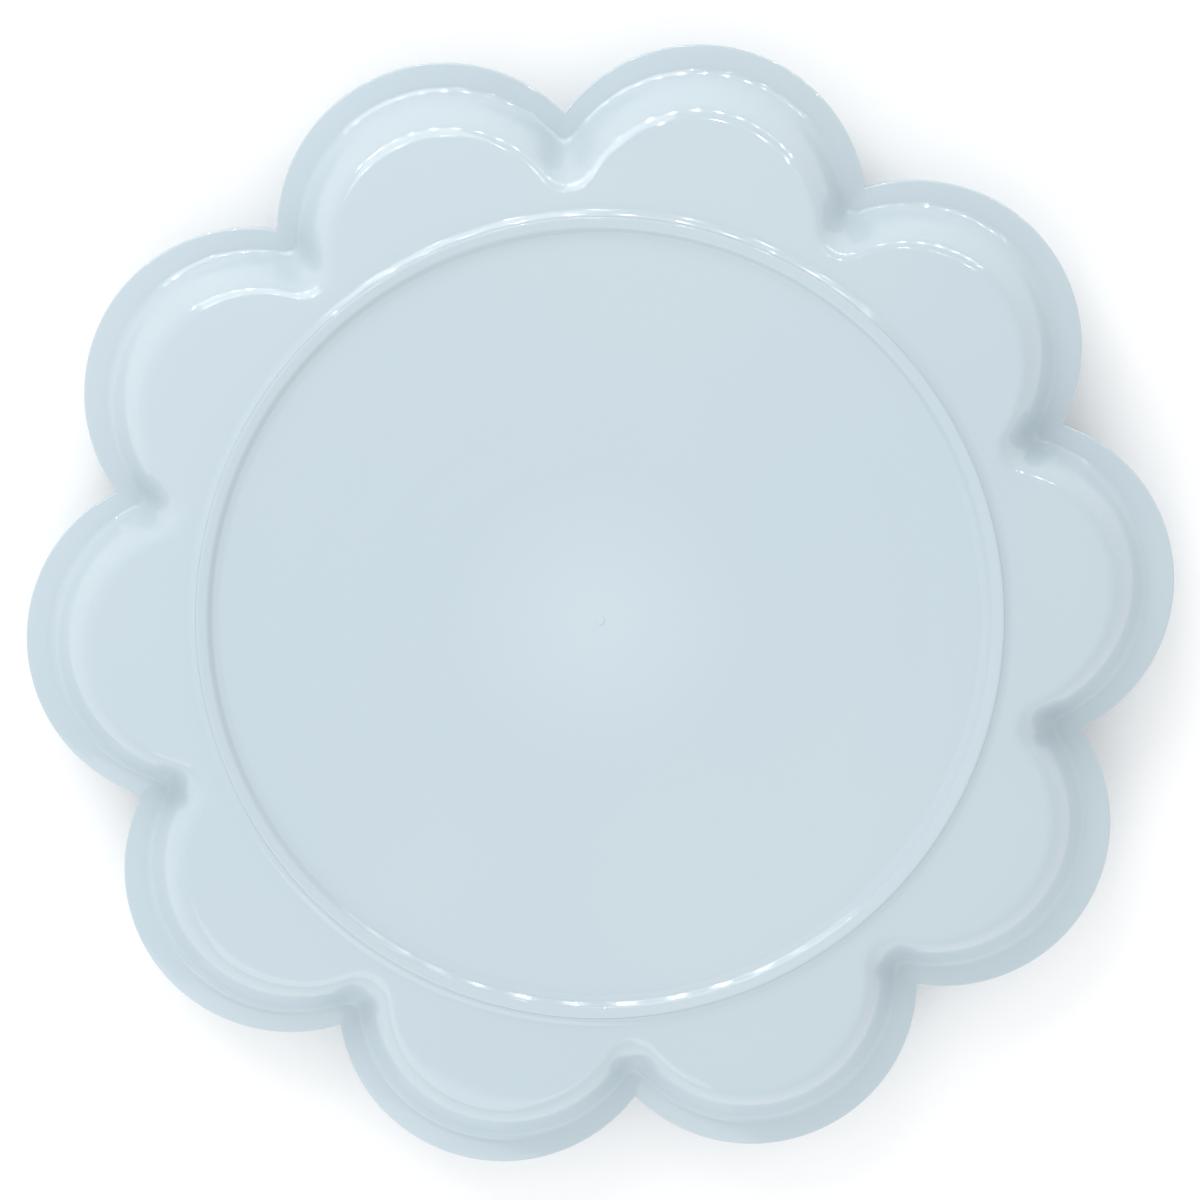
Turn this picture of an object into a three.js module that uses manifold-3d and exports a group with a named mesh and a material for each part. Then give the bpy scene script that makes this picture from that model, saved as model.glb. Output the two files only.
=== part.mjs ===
// Flower-shaped mixing palette: a lid over a tray with ten paint wells and a lift-out mixing dish.
// Millimetres, +Z up. The origin is at the middle of the underside, and one petal points along +X.

import * as THREE from 'three';
import { mergeVertices } from 'three/addons/utils/BufferGeometryUtils.js';
import Module from 'manifold-3d';

const wasm = await Module();
wasm.setup();

// ---------------------------------------------------------------- driving dimensions

const OVERALL_WIDTH = 200;         // petal tip to opposite petal tip
const PETALS = 10;
const PETAL_RADIUS = 28.9;
const STEPS_PER_PETAL = 8;

const WALL = 1.6;                  // lid and dish
const TRAY_WALL = 2;
const GAP = 0.3;                   // between pieces that rest on each other
const SIDE_GAP = 0.4;              // between pieces that slide past each other

const FOOT_HEIGHT = 1.4;
const FOOT_OUTER = 65;             // fits inside the lid's ring, so that palettes stack
const FOOT_INNER = 60;
const TRAY_FLOOR = 1.8;
const LEDGE_Z = 7.7;               // the lid's skirt stands on this ledge of the tray
const TRAY_TOP = 12;
const PARTITION_TOP = 11;

const DISH_SEAT_INNER = 55;        // round wall that holds the dish
const DISH_LIP = 1.2;              // how far the dish's lip reaches past that wall

const RIM_Z = 16;                  // top of the lid's narrow edge
const FACE_RISE = 13;              // from that edge up to the lid's raised face, at the ring
const FACE_SLOPE = 0.2;            // fall of the face outside the ring, for each mm further out
const FLANGE_INSET = 4;            // where the shoulder starts, inwards from the outline at a petal's tip
const SHOULDER_INSET = 13.2;       // where it ends, at the raised face
const VALLEY_RUN = 1.04;           // how much further the valleys run inwards than the tips
const VALLEY_ROUNDNESS = 0.4;      // radius of a valley's arc for each mm of inset
const RING_INNER = 66.4;
const RING_OUTER = 69.4;
const RING_FOOT = 72;              // where the ring's outer fillet meets the face
const RING_RISE = 1.2;

// ---------------------------------------------------------------- worked out from those

const PETAL_PITCH = (2 * Math.PI) / PETALS;
const HALF_PETAL = PETAL_PITCH / 2;
const PETAL_CENTRE = OVERALL_WIDTH / 2 - PETAL_RADIUS;
const CUSP_RADIUS = PETAL_CENTRE * Math.cos(HALF_PETAL)
  + Math.sqrt(PETAL_RADIUS ** 2 - (PETAL_CENTRE * Math.sin(HALF_PETAL)) ** 2);
const FACE_Z = RIM_Z + FACE_RISE;
const RING_TOP = FACE_Z + RING_RISE;
const RIM_UNDERSIDE = RIM_Z - WALL;
const SKIRT_BOTTOM = LEDGE_Z + GAP;
const TRAY_RIM_INSET = WALL + SIDE_GAP;
const WELL_INSET = TRAY_RIM_INSET + TRAY_WALL;
const WELL_FLOOR = FOOT_HEIGHT + TRAY_FLOOR;
const DISH_SEAT_OUTER = DISH_SEAT_INNER + TRAY_WALL;

// ---------------------------------------------------------------- the flower outline

// Radius, at an angle around the origin, of a flower outline. Its petals reach out to tip, each as one
// circular arc. Between them lie arcs of radius valleyArc, centred at valleyCentre from the origin and
// tangent to both petals. With a valleyArc of 0 the petals meet in sharp cusps.
function lobedRadius(angle, tip, valleyCentre, valleyArc) {
  const reach = tip + valleyArc;
  const petalCentre = (reach ** 2 - valleyCentre ** 2)
    / (2 * (reach - valleyCentre * Math.cos(HALF_PETAL)));
  const petalArc = tip - petalCentre;
  const share = petalArc / (petalArc + valleyArc);
  const lastPetalAngle = Math.atan2(
    share * valleyCentre * Math.sin(HALF_PETAL),
    petalCentre + share * (valleyCentre * Math.cos(HALF_PETAL) - petalCentre),
  );
  const fromPetal = Math.abs(angle - PETAL_PITCH * Math.round(angle / PETAL_PITCH));
  if (fromPetal <= lastPetalAngle) {
    const sideways = petalCentre * Math.sin(fromPetal);
    return petalCentre * Math.cos(fromPetal) + Math.sqrt(petalArc ** 2 - sideways ** 2);
  }
  const fromValley = HALF_PETAL - fromPetal;
  const sideways = valleyCentre * Math.sin(fromValley);
  return valleyCentre * Math.cos(fromValley) - Math.sqrt(Math.max(valleyArc ** 2 - sideways ** 2, 0));
}

// The palette's outline moved inwards by inset, so that each cusp turns into an arc around its point.
function flowerRadius(angle, inset) {
  return lobedRadius(angle, OVERALL_WIDTH / 2 - inset, CUSP_RADIUS, inset);
}

// One of the shoulder's level lines, at an inset measured at the petals' tips.
function levelRadius(angle, inset) {
  const valleyArc = VALLEY_ROUNDNESS * inset;
  const valley = CUSP_RADIUS - VALLEY_RUN * inset;
  return lobedRadius(angle, OVERALL_WIDTH / 2 - inset, valley + valleyArc, valleyArc);
}

// Height of the lid's face, which is flat inside the ring's foot and slopes down outside it.
function faceHeight(radius) {
  return FACE_Z - FACE_SLOPE * Math.max(radius - RING_FOOT, 0);
}

// Profile points: one on a circle, one on the flower outline at an inset, and one on the shoulder,
// at a share of the way from the narrow edge up to the face, lowered by depth for the underside.
const round = (radius, z) => ({ radiusAt: () => radius, heightAt: () => z });
const petal = (inset, z) => ({ radiusAt: (angle) => flowerRadius(angle, inset), heightAt: () => z });
const shoulder = (inset, share, depth) => ({
  radiusAt: (angle) => levelRadius(angle, inset),
  heightAt: (angle) => RIM_Z - depth + share * (faceHeight(levelRadius(angle, inset)) - RIM_Z),
});

// A closed body turned around +Z from a profile, whose radius and height may change with the angle.
// The profile runs outwards along the underside and back along the top, and starts and ends on
// the axis or closes on itself.
function turnedBody(profile) {
  const segments = PETALS * STEPS_PER_PETAL;
  const outline = profile.map((point) => new THREE.Vector2(point.radiusAt(0), point.heightAt(0)));
  const geometry = new THREE.LatheGeometry(outline, segments);
  const position = geometry.getAttribute('position');
  for (let vertex = 0; vertex < position.count; vertex += 1) {
    const point = profile[vertex % profile.length];
    const step = Math.floor(vertex / profile.length) % segments;
    const angle = (step * 2 * Math.PI) / segments;
    const radius = point.radiusAt(angle);
    const height = point.heightAt(angle);
    position.setXYZ(vertex, radius * Math.cos(angle), radius * Math.sin(angle), height);
  }
  return geometry;
}

// ---------------------------------------------------------------- booleans

function toManifold(geometry) {
  const bare = geometry.clone();
  bare.deleteAttribute('normal');
  bare.deleteAttribute('uv');
  const merged = mergeVertices(bare, 1e-4);
  return new wasm.Manifold(new wasm.Mesh({
    numProp: 3,
    vertProperties: new Float32Array(merged.getAttribute('position').array),
    triVerts: new Uint32Array(merged.getIndex().array),
  }));
}

function toGeometry(manifold) {
  const mesh = manifold.getMesh();
  const geometry = new THREE.BufferGeometry();
  geometry.setAttribute('position', new THREE.BufferAttribute(mesh.vertProperties, 3));
  geometry.setIndex(new THREE.BufferAttribute(mesh.triVerts, 1));
  geometry.computeVertexNormals();
  return geometry;
}

// ---------------------------------------------------------------- lid

const FLANGE_FALL = 0.8;           // the narrow edge slopes down by this much to its outer side
const EDGE_ROUND = 0.5;
const FLAT_UNDERSIDE = 71.4;       // radius of the level middle of the underside
const SHOULDER_STEPS = 8;
const SHOULDER_SOFT_FOOT = 1;      // exponents of the shoulder's slope, which is steepest low down
const SHOULDER_SOFT_TOP = 1.7;
const SHOULDER_UNDERSIDE_SHIFT = 0.9;  // keeps the shoulder about one wall thick

// Insets along the shoulder, with each one's share of the way up from the narrow edge to the face.
function shoulderSteps() {
  const steps = [];
  const finer = 20;
  let rise = 0;
  for (let step = 0; step <= SHOULDER_STEPS * finer; step += 1) {
    const across = step / (SHOULDER_STEPS * finer);
    rise += across ** SHOULDER_SOFT_FOOT * (1 - across) ** SHOULDER_SOFT_TOP;
    if (step % finer === 0) {
      steps.push({ inset: FLANGE_INSET + across * (SHOULDER_INSET - FLANGE_INSET), rise });
    }
  }
  return steps.map(({ inset, rise: risen }) => ({ inset, share: risen / rise }));
}

function lidGeometry() {
  const outside = shoulderSteps().map(({ inset, share }) => shoulder(inset, share, 0));
  const inside = shoulderSteps().map(({ inset, share }) => (
    shoulder(inset + SHOULDER_UNDERSIDE_SHIFT, share, WALL)
  ));
  const underside = [
    round(0, FACE_Z - WALL),
    round(FLAT_UNDERSIDE, FACE_Z - WALL),
    ...inside.reverse(),
    petal(WALL, RIM_UNDERSIDE),
    petal(WALL, SKIRT_BOTTOM),
    petal(EDGE_ROUND / 2, SKIRT_BOTTOM),
    petal(0, SKIRT_BOTTOM + EDGE_ROUND),
  ];
  const top = [
    petal(0, RIM_Z - FLANGE_FALL - EDGE_ROUND),
    petal(EDGE_ROUND, RIM_Z - FLANGE_FALL),
    ...outside,
    round(RING_FOOT, FACE_Z),
    round((RING_FOOT + RING_OUTER) / 2, FACE_Z + RING_RISE * 0.3),
    round(RING_OUTER, RING_TOP),
    round(RING_INNER + EDGE_ROUND, RING_TOP),
    round(RING_INNER, FACE_Z),
    round(0, FACE_Z),
  ];
  return turnedBody([...underside, ...top]);
}

// ---------------------------------------------------------------- seal

const SEAL_WIDTH = 2.4;

function sealGeometry() {
  const outer = WALL + GAP;
  const inner = outer + SEAL_WIDTH;
  const bottom = TRAY_TOP + GAP;
  const top = RIM_UNDERSIDE - GAP;
  return turnedBody([
    petal(inner, bottom),
    petal(outer, bottom),
    petal(outer, top),
    petal(inner, top),
    petal(inner, bottom),
  ]);
}

// ---------------------------------------------------------------- tray

const LEDGE_INSET = 0.6;
const PARTITION_WIDTH = 2;
const JOIN = 0.5;                  // how far joined walls run into each other

function trayShellGeometry() {
  return turnedBody([
    round(0, FOOT_HEIGHT),
    round(FOOT_INNER, FOOT_HEIGHT),
    round(FOOT_INNER, 0),
    round(FOOT_OUTER, 0),
    round(FOOT_OUTER, FOOT_HEIGHT),
    petal(6, FOOT_HEIGHT),
    petal(3.6, FOOT_HEIGHT + 0.6),
    petal(2.6, FOOT_HEIGHT + 2.6),
    petal(LEDGE_INSET, LEDGE_Z - 1.2),
    petal(LEDGE_INSET, LEDGE_Z),
    petal(TRAY_RIM_INSET, LEDGE_Z),
    petal(TRAY_RIM_INSET, TRAY_TOP),
    petal(WELL_INSET, TRAY_TOP),
    petal(WELL_INSET + 0.4, WELL_FLOOR + 3.5),
    petal(WELL_INSET + 1.6, WELL_FLOOR + 1),
    petal(WELL_INSET + 4, WELL_FLOOR),
    round(0, WELL_FLOOR),
  ]);
}

function dishSeatGeometry() {
  const bottom = WELL_FLOOR - JOIN;
  return turnedBody([
    round(DISH_SEAT_INNER, bottom),
    round(DISH_SEAT_OUTER, bottom),
    round(DISH_SEAT_OUTER, TRAY_TOP),
    round(DISH_SEAT_INNER, TRAY_TOP),
    round(DISH_SEAT_INNER, bottom),
  ]);
}

function partitionGeometry(index) {
  const start = DISH_SEAT_OUTER - JOIN;
  const end = CUSP_RADIUS - WELL_INSET + JOIN;
  const bottom = WELL_FLOOR - JOIN;
  const wall = new THREE.BoxGeometry(end - start, PARTITION_WIDTH, PARTITION_TOP - bottom);
  wall.translate((start + end) / 2, 0, (PARTITION_TOP + bottom) / 2);
  wall.rotateZ(HALF_PETAL + index * PETAL_PITCH);
  return wall;
}

function trayGeometry() {
  let tray = toManifold(trayShellGeometry()).add(toManifold(dishSeatGeometry()));
  for (let index = 0; index < PETALS; index += 1) {
    tray = tray.add(toManifold(partitionGeometry(index)));
  }
  return toGeometry(tray);
}

// ---------------------------------------------------------------- mixing dish

function dishGeometry() {
  const outer = DISH_SEAT_INNER - SIDE_GAP;
  const lip = DISH_SEAT_OUTER + DISH_LIP;
  const bottom = WELL_FLOOR + GAP;
  const lipBottom = TRAY_TOP + GAP;
  const lipTop = lipBottom + WALL;
  return turnedBody([
    round(0, bottom),
    round(outer - 5, bottom),
    round(outer - 1.5, bottom + 1.2),
    round(outer, bottom + 4),
    round(outer, lipBottom),
    round(lip, lipBottom),
    round(lip, lipTop - EDGE_ROUND),
    round(lip - EDGE_ROUND, lipTop),
    round(outer - WALL + EDGE_ROUND, lipTop),
    round(outer - WALL, lipTop - EDGE_ROUND),
    round(outer - WALL - 0.3, bottom + WALL + 3.5),
    round(outer - WALL - 1.8, bottom + WALL + 1),
    round(outer - WALL - 5, bottom + WALL),
    round(0, bottom + WALL),
  ]);
}

// ---------------------------------------------------------------- assembly

const PALE_BLUE = 0xd4e0e7;
const MILKY_WHITE = 0xe6ebec;

function glossPlastic(color) {
  return new THREE.MeshStandardMaterial({ color, roughness: 0.22, metalness: 0 });
}

function silicone(color) {
  return new THREE.MeshStandardMaterial({ color, roughness: 0.6, metalness: 0 });
}

function piece(name, geometry, material) {
  const mesh = new THREE.Mesh(geometry, material);
  mesh.name = name;
  return mesh;
}

const group = new THREE.Group();
group.add(
  piece('base_tray', trayGeometry(), glossPlastic(PALE_BLUE)),
  piece('mixing_dish', dishGeometry(), glossPlastic(MILKY_WHITE)),
  piece('lid_seal', sealGeometry(), silicone(MILKY_WHITE)),
  piece('lid_shell', lidGeometry(), glossPlastic(PALE_BLUE)),
);

export default group;
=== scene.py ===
"""The flower-shaped mixing palette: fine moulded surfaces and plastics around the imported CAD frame."""

import math

import bpy
import numpy as np
from mathutils import Matrix, Vector


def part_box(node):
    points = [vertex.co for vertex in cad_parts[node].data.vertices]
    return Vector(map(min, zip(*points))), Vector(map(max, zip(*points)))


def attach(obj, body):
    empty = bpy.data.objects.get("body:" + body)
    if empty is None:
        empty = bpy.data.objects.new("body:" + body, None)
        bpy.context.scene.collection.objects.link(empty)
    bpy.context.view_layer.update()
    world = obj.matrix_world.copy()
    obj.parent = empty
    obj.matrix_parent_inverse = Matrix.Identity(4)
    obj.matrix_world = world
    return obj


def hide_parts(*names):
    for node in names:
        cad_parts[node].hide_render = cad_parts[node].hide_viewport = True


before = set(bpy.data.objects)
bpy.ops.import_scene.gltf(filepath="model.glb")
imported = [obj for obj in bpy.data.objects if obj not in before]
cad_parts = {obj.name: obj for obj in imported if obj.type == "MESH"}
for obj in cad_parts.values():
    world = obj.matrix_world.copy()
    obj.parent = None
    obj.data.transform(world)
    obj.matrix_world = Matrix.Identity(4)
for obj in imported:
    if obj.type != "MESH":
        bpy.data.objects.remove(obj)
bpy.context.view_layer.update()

# ------------------------------------------------------------------ sizes, in mm, from the frame

MM = 0.001

PETALS = 10
PITCH = 2 * math.pi / PETALS
HALF_PETAL = PITCH / 2
PETAL_SHARE = 0.289                # a petal's radius as a share of the outline's half width

lid_low, lid_high = (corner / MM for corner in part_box("lid_shell"))
tray_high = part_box("base_tray")[1] / MM
dish_low, dish_high = (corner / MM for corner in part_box("mixing_dish"))
seal_low, seal_high = (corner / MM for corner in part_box("lid_seal"))

HALF_WIDTH = lid_high.x
PETAL_RADIUS = HALF_WIDTH * PETAL_SHARE
PETAL_CENTRE = HALF_WIDTH - PETAL_RADIUS
CUSP_RADIUS = PETAL_CENTRE * math.cos(HALF_PETAL) + math.sqrt(
    PETAL_RADIUS ** 2 - (PETAL_CENTRE * math.sin(HALF_PETAL)) ** 2
)

WALL = 1.6
RING_RISE = 1.2
FACE_RISE = 13                     # from the edge up to the face
FACE_SLOPE = 0.2                   # fall per mm outside the ring's foot
FLANGE_INSET = 4                   # width of the narrow edge at the petals' tips
SHOULDER_INSET = 13.2              # where the shoulder ends, from the petals' tips
VALLEY_RUN = 1.04                  # how far valleys move in, as a share of the tips' inset
VALLEY_ROUNDNESS = 0.4             # a valley's radius, as a share of the tips' inset
RING_INNER = 66.4
RING_OUTER = 69.4
RING_FOOT = 72
FACE_Z = lid_high.z - RING_RISE
RIM_Z = FACE_Z - FACE_RISE


# ------------------------------------------------------------------ the flower outline

def from_petal_middle(angles):
    return np.abs(angles - PITCH * np.round(angles / PITCH))


def lobed_radius(angles, tip, valley_centre, valley_arc):
    """Radius of a flower outline at each angle. Its petals are circular arcs that reach out to tip,
    and tangent arcs of radius valley_arc join them, or sharp cusps where valley_arc is 0."""
    reach = tip + valley_arc
    petal_centre = (reach ** 2 - valley_centre ** 2) / (
        2 * (reach - valley_centre * math.cos(HALF_PETAL))
    )
    petal_arc = tip - petal_centre
    share = petal_arc / (petal_arc + valley_arc)
    last_petal_angle = math.atan2(
        share * valley_centre * math.sin(HALF_PETAL),
        petal_centre + share * (valley_centre * math.cos(HALF_PETAL) - petal_centre),
    )
    from_petal = from_petal_middle(angles)
    sideways = petal_centre * np.sin(from_petal)
    on_petal = petal_centre * np.cos(from_petal)
    on_petal = on_petal + np.sqrt(np.maximum(petal_arc ** 2 - sideways ** 2, 0))
    sideways = valley_centre * np.sin(HALF_PETAL - from_petal)
    in_valley = valley_centre * np.cos(HALF_PETAL - from_petal)
    in_valley = in_valley - np.sqrt(np.maximum(valley_arc ** 2 - sideways ** 2, 0))
    return np.where(from_petal <= last_petal_angle, on_petal, in_valley)


def flower_radius(angles, inset):
    """The palette's outline moved inwards by inset, so that cusps turn into arcs."""
    return lobed_radius(angles, HALF_WIDTH - inset, CUSP_RADIUS, inset)


def level_radius(angles, inset):
    """One of the shoulder's level lines, at an inset measured at the petals' tips."""
    valley_arc = VALLEY_ROUNDNESS * inset
    valley = CUSP_RADIUS - VALLEY_RUN * inset
    return lobed_radius(angles, HALF_WIDTH - inset, valley + valley_arc, valley_arc)


def face_height(radii):
    """Height of the lid's face, which slopes down outside the ring's foot."""
    return FACE_Z - FACE_SLOPE * np.maximum(radii - RING_FOOT, 0)


# ------------------------------------------------------------------ rows of turned surfaces

STEPS_PER_PETAL = 48
EVEN_ANGLES = np.arange(PETALS * STEPS_PER_PETAL) * PITCH / STEPS_PER_PETAL


def row(radii, heights, angles):
    flat = np.ones_like(angles)
    return np.stack([radii * np.cos(angles), radii * np.sin(angles), heights * flat], axis=1)


def circle_row(radius, z, angles=EVEN_ANGLES):
    return row(radius, z, angles)


def petal_row(inset, z, angles=EVEN_ANGLES):
    return row(flower_radius(angles, inset), z, angles)


def shoulder_row(inset, share, depth=0.0):
    """A row on the shoulder, at a share of the way up to the face and lowered by depth."""
    radii = level_radius(EVEN_ANGLES, inset)
    return row(radii, RIM_Z - depth + share * (face_height(radii) - RIM_Z), EVEN_ANGLES)


def rounded(corners, steps=6):
    """The polyline through (x, z, radius) corners, with an arc of that radius at each corner."""
    points = []
    last = len(corners) - 1
    for index, (x, z, radius) in enumerate(corners):
        here = Vector((x, z))
        if radius == 0 or index in (0, last):
            points.append((x, z))
            continue
        back = (Vector(corners[index - 1][:2]) - here).normalized()
        on = (Vector(corners[index + 1][:2]) - here).normalized()
        half_angle = back.angle(on) / 2
        reach = radius / math.tan(half_angle)
        centre = here + (back + on).normalized() * (radius / math.sin(half_angle))
        start = here + back * reach - centre
        end = here + on * reach - centre
        sweep = start.angle(end)
        for step in range(steps + 1):
            share = step / steps
            turn = start * math.sin((1 - share) * sweep) + end * math.sin(share * sweep)
            points.append(tuple(centre + turn / math.sin(sweep)))
    return points


def circle_rows(corners, steps=6):
    return [circle_row(x, z) for x, z in rounded(corners, steps)]


def petal_rows(corners, steps=6):
    return [petal_row(x, z) for x, z in rounded(corners, steps)]


# ------------------------------------------------------------------ meshes

SHARP_ANGLE = math.radians(38)


def make_object(name, vertices, faces):
    mesh = bpy.data.meshes.new(name)
    mesh.from_pydata((vertices * MM).tolist(), [], faces)
    mesh.validate()
    mesh.shade_smooth()
    mesh.set_sharp_from_angle(angle=SHARP_ANGLE)
    obj = bpy.data.objects.new(name, mesh)
    bpy.context.scene.collection.objects.link(obj)
    return obj


def turned(name, rows, closed=False):
    """A turned body with outward faces. Its rows run out along the underside and back along the top.
    A closed list of rows joins its last row to its first. An open one ends on the axis, both ways."""
    count = len(rows[0])
    faces = []
    for lower in range(len(rows) if closed else len(rows) - 1):
        a = lower * count
        b = ((lower + 1) % len(rows)) * count
        for step in range(count):
            after = (step + 1) % count
            faces.append((a + step, a + after, b + after, b + step))
    vertices = np.concatenate(rows)
    if not closed:
        bottom = len(vertices)
        top = bottom + 1
        last = (len(rows) - 1) * count
        poles = np.array([[0, 0, rows[0][:, 2].mean()], [0, 0, rows[-1][:, 2].mean()]])
        vertices = np.concatenate([vertices, poles])
        for step in range(count):
            after = (step + 1) % count
            faces.append((bottom, after, step))
            faces.append((top, last + step, last + after))
    return make_object(name, vertices, faces)


def stand_for(obj, node, body, material):
    """The object takes a CAD node's place, rides on its body and gets its material."""
    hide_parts(node)
    obj.data.materials.append(material)
    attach(obj, body)


# ------------------------------------------------------------------ lid

SHOULDER_STEPS = 40
SHOULDER_SOFT_FOOT = 1             # exponents of the shoulder's slope, which is steepest low down
SHOULDER_SOFT_TOP = 1.7
UNDERSIDE_SHIFT = 0.9              # extra inset of the underside's shoulder, for an even wall
FLAT_UNDERSIDE = 71.4              # radius of the level middle of the underside
UNDERSIDE_RADII = (2, 20, 40, 60, FLAT_UNDERSIDE)
FLANGE_FALL = 0.8                  # how much lower the narrow edge lies at its outer side
FLANGE_ROW_INSETS = (2.0, 2.7, 3.4)
FACE_ROW_RADII = (58, 50, 42, 34, 26, 18, 12, 7, 4)
FACE_EDGE_DROP = 0.02              # the middle's slight fall just inside the ring
FACE_STEP = 0.25                   # how far the middle lies under the face outside the ring
FACE_DISH = 0.3                    # and how much deeper it is at its centre


def shoulder_steps():
    """(inset, share of the height) along the shoulder, from the narrow edge up to the face."""
    finer = 10
    across = np.linspace(0, 1, SHOULDER_STEPS * finer + 1)
    slope = across ** SHOULDER_SOFT_FOOT * (1 - across) ** SHOULDER_SOFT_TOP
    shares = np.cumsum(slope) / slope.sum()
    insets = FLANGE_INSET + across * (SHOULDER_INSET - FLANGE_INSET)
    return list(zip(insets[::finer], shares[::finer]))


def flange_height(inset):
    """Height of the narrow edge, which slopes up from its outer side to the shoulder."""
    return RIM_Z - FLANGE_FALL * (1 - inset / FLANGE_INSET)


def lid_rows():
    steps = shoulder_steps()
    skirt_bottom = lid_low.z
    flange_low = flange_height(0)
    underside = [circle_row(radius, FACE_Z - WALL) for radius in UNDERSIDE_RADII]
    underside += [shoulder_row(inset + UNDERSIDE_SHIFT, share, WALL) for inset, share in reversed(steps)]
    skirt = petal_rows([
        (FLANGE_INSET - 0.6, RIM_Z - WALL, 0),
        (WALL, RIM_Z - WALL, 0.5),
        (WALL, skirt_bottom, 0.35),
        (0.12, skirt_bottom, 0.45),
        (0, flange_low, 0.4),
        (1.2, flange_height(1.2), 0),
    ])
    flange = [row(level_radius(EVEN_ANGLES, inset), flange_height(inset), EVEN_ANGLES)
              for inset in FLANGE_ROW_INSETS]
    top = [shoulder_row(inset, share) for inset, share in steps]
    ring_top = lid_high.z - 0.01
    middle = FACE_Z - FACE_STEP
    middle_edge = middle - FACE_EDGE_DROP
    ring = circle_rows([
        (RING_FOOT, FACE_Z, 0),
        (RING_OUTER + 0.4, FACE_Z + 0.15, 2.4),
        (RING_OUTER - 0.4, ring_top, 0.8),
        (RING_INNER + 0.8, ring_top - 0.3, 1.0),
        (RING_INNER, middle + 0.3, 0.5),
        (RING_INNER - 1.2, middle, 0.6),
        (RING_INNER - 4, middle_edge, 0),
    ])
    face = [circle_row(radius, middle_edge - FACE_DISH * (1 - (radius / RING_INNER) ** 2))
            for radius in FACE_ROW_RADII]
    centre = middle_edge - FACE_DISH
    gate = circle_rows([
        (1.8, centre, 0),
        (0.8, centre + 0.01, 0.1),
        (0.68, centre + 0.14, 0.06),
        (0.2, centre + 0.12, 0),
    ])
    return underside + skirt + flange + top + ring + face + gate


def make_lid(material):
    lid = turned("lid_moulding", lid_rows())
    stand_for(lid, "lid_shell", "lid", material)


# ------------------------------------------------------------------ seal

SEAL_OUTER = WALL + 0.3
SEAL_INNER = SEAL_OUTER + 2.4


def make_seal(material):
    """A soft band with two lips below and a rounded back."""
    low, high = seal_low.z, seal_high.z
    middle = (SEAL_OUTER + SEAL_INNER) / 2
    rows = petal_rows([
        (SEAL_INNER, (low + high) / 2, 0),
        (SEAL_INNER, low, 0.4),
        (middle + 0.45, low, 0.3),
        (middle, low + 0.6, 0.25),
        (middle - 0.45, low, 0.3),
        (SEAL_OUTER, low, 0.4),
        (SEAL_OUTER, high, 0.35),
        (SEAL_INNER, high, 0.35),
        (SEAL_INNER, (low + high) / 2 + 0.1, 0),
    ], steps=4)
    stand_for(turned("seal_band", rows, closed=True), "lid_seal", "lid", material)


# ------------------------------------------------------------------ tray

FOOT_HEIGHT = 1.4
FOOT_INNER = 60
FOOT_OUTER = 65
WELL_FLOOR = 3.2
LEDGE_Z = 7.7
LEDGE_INSET = 0.6
TRAY_RIM_INSET = 2
WELL_INSET = 4
SEAT_INNER = 55
SEAT_OUTER = 57
PARTITION_TOP = 11
PARTITION_HALF = 1
PARTITION_SQUARENESS = 11
WELL_SOFTNESS = 0.5                # how softly walls and floors of the wells run together
SCOOP = 1.3                        # how high the well's floor sweeps up beside a partition
SCOOP_REACH = 2.2
OUTER_REFERENCE = 80               # radii at which PARTITION_OFFSETS are true distances
INNER_REFERENCE = 60
SEAT_WALL_FOOT = SEAT_OUTER + 3.2
FLOOR_SHARES = (0.12, 0.25, 0.4, 0.55, 0.7, 0.85, 0.94)
PARTITION_OFFSETS = (0, 0.4, 0.62, 0.76, 0.86, 0.94, 1.02, 1.1, 1.2, 1.34, 1.55, 1.9, 2.4, 3.1, 4.2)


def tray_angles(radius):
    """Angles around the tray that crowd along both sides of each partition."""
    near = np.arcsin(np.array(PARTITION_OFFSETS) / radius)
    between = STEPS_PER_PETAL - 2 * len(near) + 1
    middle = np.linspace(near[-1], PITCH - near[-1], between + 2)[1:-1]
    petal = np.concatenate([near, middle, (PITCH - near[:0:-1])])
    starts = HALF_PETAL + PITCH * np.arange(PETALS)
    return (starts[:, None] + petal[None, :]).ravel()


def well_row(radii_at, reference, z):
    """A row across the wells, raised where a partition stands."""
    angles = tray_angles(reference)
    radii = radii_at(angles)
    from_partition = HALF_PETAL - from_petal_middle(angles)
    aside = radii * np.sin(from_partition)
    wall = 1 / (1 + (aside / PARTITION_HALF) ** PARTITION_SQUARENESS)
    beside = np.maximum(aside - PARTITION_HALF, 0) / SCOOP_REACH
    scoop = WELL_FLOOR + SCOOP * np.exp(-beside ** 2)
    partition = scoop + (PARTITION_TOP - scoop) * wall
    total = np.logaddexp(partition / WELL_SOFTNESS, z / WELL_SOFTNESS) * WELL_SOFTNESS
    floor_lift = WELL_SOFTNESS * math.log(2)
    return row(radii, np.where(z >= PARTITION_TOP + 0.9, z, total - floor_lift), angles)


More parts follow.
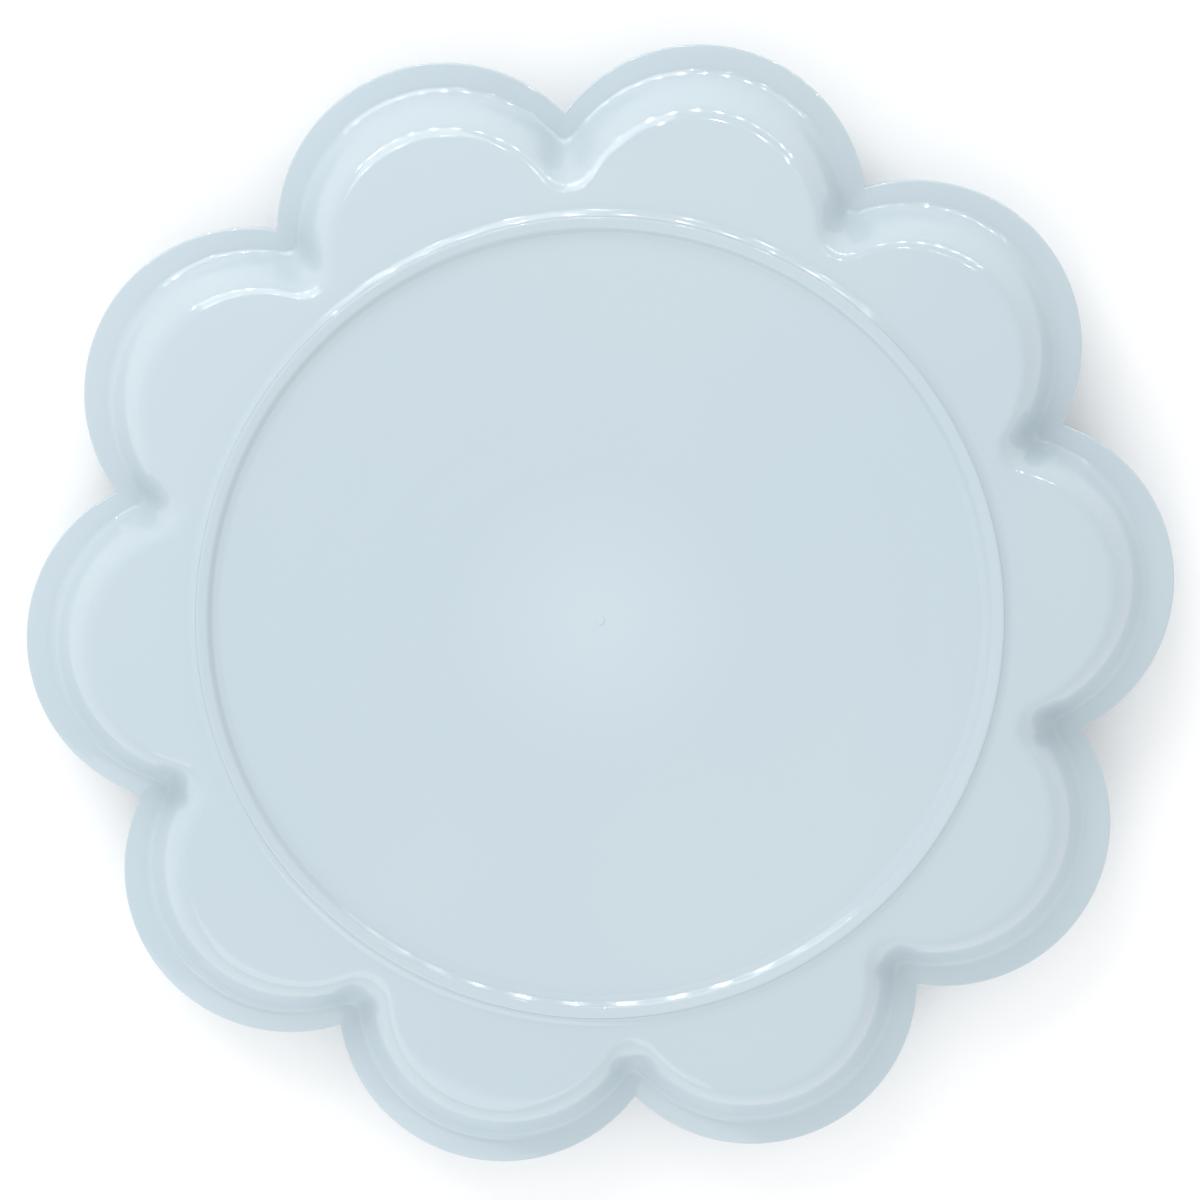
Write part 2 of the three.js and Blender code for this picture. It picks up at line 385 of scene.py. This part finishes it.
def tray_rows():
    outside = [circle_row(radius, FOOT_HEIGHT, tray_angles(INNER_REFERENCE)) for radius in (2, 30, 54)]
    foot = rounded([
        (FOOT_INNER - 1, FOOT_HEIGHT, 0),
        (FOOT_INNER, FOOT_HEIGHT, 0.4),
        (FOOT_INNER + 0.2, 0, 0.4),
        (FOOT_OUTER - 0.2, 0, 0.4),
        (FOOT_OUTER, FOOT_HEIGHT, 0.4),
        (FOOT_OUTER + 1.5, FOOT_HEIGHT, 0),
    ])
    outside += [circle_row(x, z, tray_angles(INNER_REFERENCE)) for x, z in foot]
    side = rounded([
        (7, FOOT_HEIGHT, 0),
        (4.4, FOOT_HEIGHT, 1.6),
        (2.4, LEDGE_Z - 2.6, 1.2),
        (LEDGE_INSET, LEDGE_Z - 1.6, 0.5),
        (LEDGE_INSET, LEDGE_Z - 0.02, 0.4),
        (TRAY_RIM_INSET, LEDGE_Z - 0.02, 0.25),
        (TRAY_RIM_INSET + 0.05, tray_high.z, 0.7),
        (WELL_INSET - 0.05, tray_high.z, 0.7),
        (WELL_INSET + 0.05, tray_high.z - 0.95, 0),
    ])
    outside += [petal_row(x, z, tray_angles(OUTER_REFERENCE)) for x, z in side]
    inner_wall = rounded([
        (WELL_INSET + 0.06, tray_high.z - 1.0, 0),
        (WELL_INSET + 0.5, WELL_FLOOR, 3.2),
        (WELL_INSET + 7, WELL_FLOOR, 0),
    ], steps=14)
    wells = [well_row(lambda angles, inset=inset: flower_radius(angles, inset), OUTER_REFERENCE, z)
             for inset, z in inner_wall]
    start_inset = inner_wall[-1][0]
    for share in FLOOR_SHARES:
        def across(angles, share=share):
            return (1 - share) * flower_radius(angles, start_inset) + share * SEAT_WALL_FOOT
        reference = OUTER_REFERENCE - share * (OUTER_REFERENCE - INNER_REFERENCE)
        wells.append(well_row(across, reference, WELL_FLOOR))
    seat_wall = rounded([
        (SEAT_WALL_FOOT, WELL_FLOOR, 0),
        (SEAT_OUTER + 0.2, WELL_FLOOR, 2.6),
        (SEAT_OUTER + 0.02, tray_high.z - 0.8, 0),
    ], steps=14)
    wells += [well_row(lambda angles, x=x: np.full_like(angles, x), INNER_REFERENCE, z)
              for x, z in seat_wall]
    seat = rounded([
        (SEAT_OUTER + 0.01, tray_high.z - 0.7, 0),
        (SEAT_OUTER, tray_high.z, 0.5),
        (SEAT_INNER, tray_high.z, 0.5),
        (SEAT_INNER - 0.2, WELL_FLOOR, 0.25),
        (SEAT_INNER - 2, WELL_FLOOR, 0),
    ])
    inside = [circle_row(x, z, tray_angles(INNER_REFERENCE)) for x, z in seat]
    inside += [circle_row(radius, WELL_FLOOR, tray_angles(INNER_REFERENCE)) for radius in (40, 20, 2)]
    return outside + wells + inside


def make_tray(material):
    stand_for(turned("tray_moulding", tray_rows()), "base_tray", "tray", material)


# ------------------------------------------------------------------ mixing dish

def make_dish(material):
    """A shallow turned dish with a rolled lip and a foot-like step under its floor."""
    low, high = dish_low.z, dish_high.z
    lip = dish_high.x
    outer = SEAT_INNER - 0.4
    rows = circle_rows([
        (2, low + 0.25, 0),
        (outer - 8.2, low + 0.25, 0.2),
        (outer - 8, low, 0.2),
        (outer - 5, low, 1.5),
        (outer, low + 4, 3),
        (outer, high - WALL, 0.3),
        (lip, high - WALL, 0.5),
        (lip, high, 0.7),
        (outer - WALL, high, 0.7),
        (outer - WALL - 0.5, low + WALL + 2.4, 3),
        (outer - WALL - 5, low + WALL, 5),
        (outer - WALL - 16, low + WALL - 0.1, 0),
        (20, low + WALL - 0.15, 0),
        (2, low + WALL - 0.16, 0),
    ])
    stand_for(turned("dish_moulding", rows), "mixing_dish", "dish", material)


# ------------------------------------------------------------------ materials

class Shader:
    """A principled material, with small helpers for the nodes that feed it."""

    def __init__(self, name):
        self.material = bpy.data.materials.new(name)
        self.material.use_nodes = True
        self.nodes = self.material.node_tree.nodes
        self.links = self.material.node_tree.links
        self.surface = self.nodes["Principled BSDF"]
        self.place = self.nodes.new("ShaderNodeTexCoord").outputs["Object"]

    def set(self, **values):
        for key, value in values.items():
            self.surface.inputs[key.replace("_", " ")].default_value = value

    def noise(self, scale, detail=2.0, distortion=0.0):
        node = self.nodes.new("ShaderNodeTexNoise")
        node.inputs["Scale"].default_value = scale
        node.inputs["Detail"].default_value = detail
        node.inputs["Distortion"].default_value = distortion
        self.links.new(self.place, node.inputs["Vector"])
        return node.outputs["Fac"]

    def swirl(self, scale, distortion):
        """Rings around the middle, broken up as the flow marks of moulding are."""
        node = self.nodes.new("ShaderNodeTexWave")
        node.wave_type = "RINGS"
        node.rings_direction = "Z"
        node.inputs["Scale"].default_value = scale
        node.inputs["Distortion"].default_value = distortion
        node.inputs["Detail"].default_value = 2
        node.inputs["Detail Scale"].default_value = 0.6
        self.links.new(self.place, node.inputs["Vector"])
        return node.outputs["Fac"]

    def from_middle(self):
        """Distance from the object's middle axis, in metres."""
        flat = self.nodes.new("ShaderNodeVectorMath")
        flat.operation = "MULTIPLY"
        flat.inputs[1].default_value = (1, 1, 0)
        self.links.new(self.place, flat.inputs[0])
        length = self.nodes.new("ShaderNodeVectorMath")
        length.operation = "LENGTH"
        self.links.new(flat.outputs["Vector"], length.inputs[0])
        return length.outputs["Value"]

    def blend(self, factor, first, second):
        node = self.nodes.new("ShaderNodeMix")
        node.data_type = "RGBA"
        colours_in = [socket for socket in node.inputs if socket.type == "RGBA"]
        colour_out = [socket for socket in node.outputs if socket.type == "RGBA"][0]
        self.links.new(factor, node.inputs["Factor"])
        self.links.new(first, colours_in[0])
        colours_in[1].default_value = (*second, 1)
        return colour_out

    def ramp(self, factor, stops):
        node = self.nodes.new("ShaderNodeValToRGB")
        elements = node.color_ramp.elements
        for index, (position, colour) in enumerate(stops):
            element = elements[index] if index < 2 else elements.new(position)
            element.position = position
            element.color = (*colour, 1)
        self.links.new(factor, node.inputs["Fac"])
        return node.outputs["Color"]

    def spread(self, factor, low, high, start=0.0, end=1.0):
        node = self.nodes.new("ShaderNodeMapRange")
        node.inputs["From Min"].default_value = start
        node.inputs["From Max"].default_value = end
        node.inputs["To Min"].default_value = low
        node.inputs["To Max"].default_value = high
        self.links.new(factor, node.inputs["Value"])
        return node.outputs["Result"]

    def bump(self, height, strength, distance, normal=None):
        node = self.nodes.new("ShaderNodeBump")
        node.inputs["Strength"].default_value = strength
        node.inputs["Distance"].default_value = distance
        self.links.new(height, node.inputs["Height"])
        if normal is not None:
            self.links.new(normal, node.inputs["Normal"])
        return node.outputs["Normal"]

    def feed(self, output, socket):
        self.links.new(output, self.surface.inputs[socket])


def gloss_plastic(name, colour, tint, roughness, painted_light_gain=1.05):
    """Glossy moulded plastic: faint clouds of tint, slightly uneven gloss, flow rings and a soft ripple.
    It is painted paler round the middle, as painted light that stands in for the brighter light falling
    there."""
    shader = Shader(name)
    shader.set(IOR=1.49)
    clouds = shader.ramp(shader.noise(scale=11, detail=3), [(0.35, colour), (0.65, tint)])
    # painted light: the base colour is painted paler towards the middle, standing in for brighter light
    # there
    painted_light_mask = shader.spread(shader.from_middle(), 1, 0, start=0.004, end=0.026)
    painted_light_tint = [channel * painted_light_gain for channel in tint]
    shader.feed(shader.blend(painted_light_mask, clouds, painted_light_tint), "Base Color")
    gloss = shader.noise(scale=60, detail=4)
    shader.feed(shader.spread(gloss, roughness * 0.75, roughness * 1.25), "Roughness")
    rings = shader.bump(shader.swirl(scale=28, distortion=3.0), 0.12, 0.0002)
    ripple = shader.bump(shader.noise(scale=35, detail=1), 0.12, 0.0004, rings)
    shader.feed(shader.bump(shader.noise(scale=900, detail=2), 0.04, 0.0001, ripple), "Normal")
    return shader.material


def silicone(name, colour, tint):
    """Soft translucent rubber with a fine matt skin."""
    shader = Shader(name)
    shader.set(IOR=1.41, Subsurface_Weight=0.3, Subsurface_Scale=0.002, Sheen_Weight=0.2)
    shader.feed(shader.ramp(shader.noise(scale=120, detail=3), [(0.3, colour), (0.7, tint)]), "Base Color")
    shader.feed(shader.spread(shader.noise(scale=400, detail=3), 0.45, 0.65), "Roughness")
    shader.feed(shader.bump(shader.noise(scale=2500, detail=2), 0.2, 0.0001), "Normal")
    return shader.material


# ------------------------------------------------------------------ studio

TILT = math.radians(7.07)          # the camera's lean away from straight above
ROLL = math.radians(-4.10)         # its turn about the vertical
DISTANCE = 0.848                   # from the point it aims at; this and the next four in metres
FRAME_WIDTH = 0.2084               # what the picture spans at that distance
AIM_UP = 0.00200
BEAD_RADIUS = 0.01
FLOOR_HALF = 3.0
WORLD_STRENGTH = 0.94
SENSOR = 36.0                      # in millimetres, as Blender keeps it
VIEW = Matrix.Rotation(ROLL, 4, "Z")


def add_camera():
    aim = VIEW @ Vector((0, AIM_UP, RIM_Z * MM))
    camera = bpy.data.objects.new("camera", bpy.data.cameras.new("camera"))
    camera.data.sensor_width = SENSOR
    camera.data.lens = SENSOR * DISTANCE / FRAME_WIDTH
    camera.data.clip_start = 0.01
    camera.location = aim + VIEW @ Vector((0, DISTANCE * math.sin(TILT), DISTANCE * math.cos(TILT)))
    camera.rotation_euler = (-TILT, 0, ROLL)
    bpy.context.scene.collection.objects.link(camera)
    bpy.context.scene.camera = camera


def add_light(name, data, place):
    """A light at a place given in the view's right, up and height, turned towards the object."""
    obj = bpy.data.objects.new(name, data)
    obj.location = VIEW @ Vector(place)
    obj.rotation_euler = obj.location.to_track_quat("Z", "Y").to_euler()
    obj.visible_camera = False
    bpy.context.scene.collection.objects.link(obj)
    return obj


def add_softbox(name, place, size, power):
    light = bpy.data.lights.new(name, "AREA")
    light.size = size
    light.energy = power
    add_light(name, light, place)


def add_bead_strip(name, height, up, half_length, count, power):
    """A row of small round lamps across the view, as along the top of a photo tent.
    They are there for their reflections, and light nothing otherwise."""
    for index in range(count):
        light = bpy.data.lights.new(f"{name}_{index}", "POINT")
        light.shadow_soft_size = BEAD_RADIUS
        light.energy = power
        across = half_length * (2 * index / (count - 1) - 1)
        lamp = add_light(f"{name}_{index}", light, (across, up, height))
        lamp.visible_diffuse = False


def add_floor():
    half = FLOOR_HALF / MM
    corners = np.array([(-half, -half, 0), (half, -half, 0), (half, half, 0), (-half, half, 0)])
    floor = make_object("floor", corners, [(0, 1, 2, 3)])
    shader = Shader("pale_floor")
    shader.set(Roughness=0.9, Specular_IOR_Level=0.0)
    paper = shader.ramp(shader.noise(scale=3), [(0.3, (0.97, 0.97, 0.97)), (0.7, (0.98, 0.98, 0.98))])
    shader.feed(paper, "Base Color")
    floor.data.materials.append(shader.material)


def add_lights():
    world = bpy.data.worlds.new("studio")
    world.use_nodes = True
    world.node_tree.nodes["Background"].inputs["Color"].default_value = (1, 1, 1, 1)
    world.node_tree.nodes["Background"].inputs["Strength"].default_value = WORLD_STRENGTH
    bpy.context.scene.world = world
    add_softbox("key", (-0.5, 1.14, 0.8), 1.0, 8.0)
    add_softbox("fill", (-0.45, -1.1, 0.8), 1.0, 4.0)
    add_bead_strip("low_beads", 0.22, 0.95, 0.95, 14, 2.4)
    add_bead_strip("high_beads", 1.0, 0.75, 0.8, 9, 1.6)


# ------------------------------------------------------------------ the scene

bpy.context.scene.view_settings.view_transform = "Standard"
add_camera()
add_floor()
add_lights()

ICE_BLUE = (0.490, 0.584, 0.636)
ICE_BLUE_TINT = (0.504, 0.590, 0.640)
MILK = (0.70, 0.74, 0.75)
MILK_TINT = (0.72, 0.745, 0.755)
SEAL_GREY = (0.66, 0.69, 0.69)
SEAL_GREY_TINT = (0.72, 0.74, 0.74)
LID_ROUGHNESS = 0.085
INNER_ROUGHNESS = 0.14

make_lid(gloss_plastic("lid_plastic", ICE_BLUE, ICE_BLUE_TINT, LID_ROUGHNESS))
make_tray(gloss_plastic("tray_plastic", ICE_BLUE, ICE_BLUE_TINT, INNER_ROUGHNESS))
make_dish(gloss_plastic("dish_plastic", MILK, MILK_TINT, INNER_ROUGHNESS))
make_seal(silicone("seal_rubber", SEAL_GREY, SEAL_GREY_TINT))
